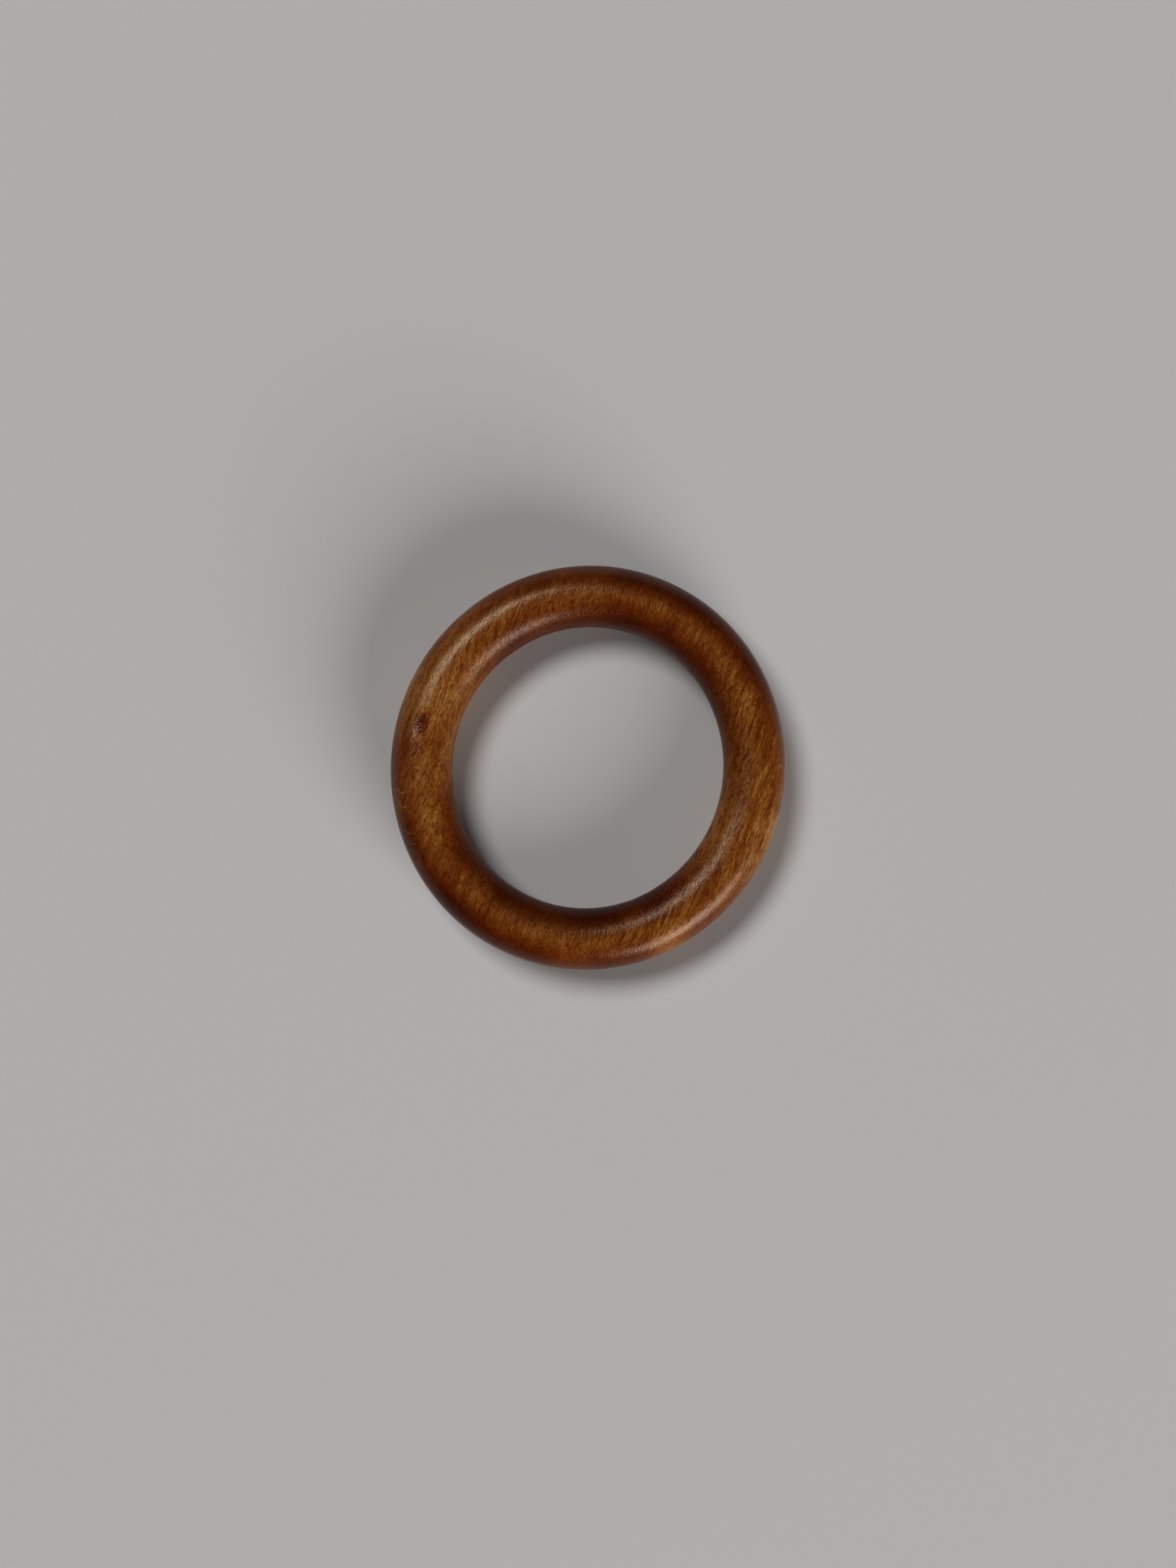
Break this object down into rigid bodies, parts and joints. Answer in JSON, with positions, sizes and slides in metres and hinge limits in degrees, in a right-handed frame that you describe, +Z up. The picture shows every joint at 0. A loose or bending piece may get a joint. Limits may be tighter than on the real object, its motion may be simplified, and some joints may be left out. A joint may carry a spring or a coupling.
{
  "type": "curtain ring",
  "caption": "Turned wooden curtain ring with a round section, stained walnut brown under a satin varnish; slides on a curtain pole.",
  "frame": {"origin": "centre of the ring, on its axis and halfway through its thickness", "axes": "+X along the grain of the wood, +Y across the grain, +Z along the ring's axis; the ring lies flat with +Z up"},
  "size_m": [0.056, 0.0544, 0.0086],
  "materials": {
    "stained_beech": "satin"
  },
  "bodies": {
    "root": {"ring": "stained_beech"}
  },
  "joints": []
}
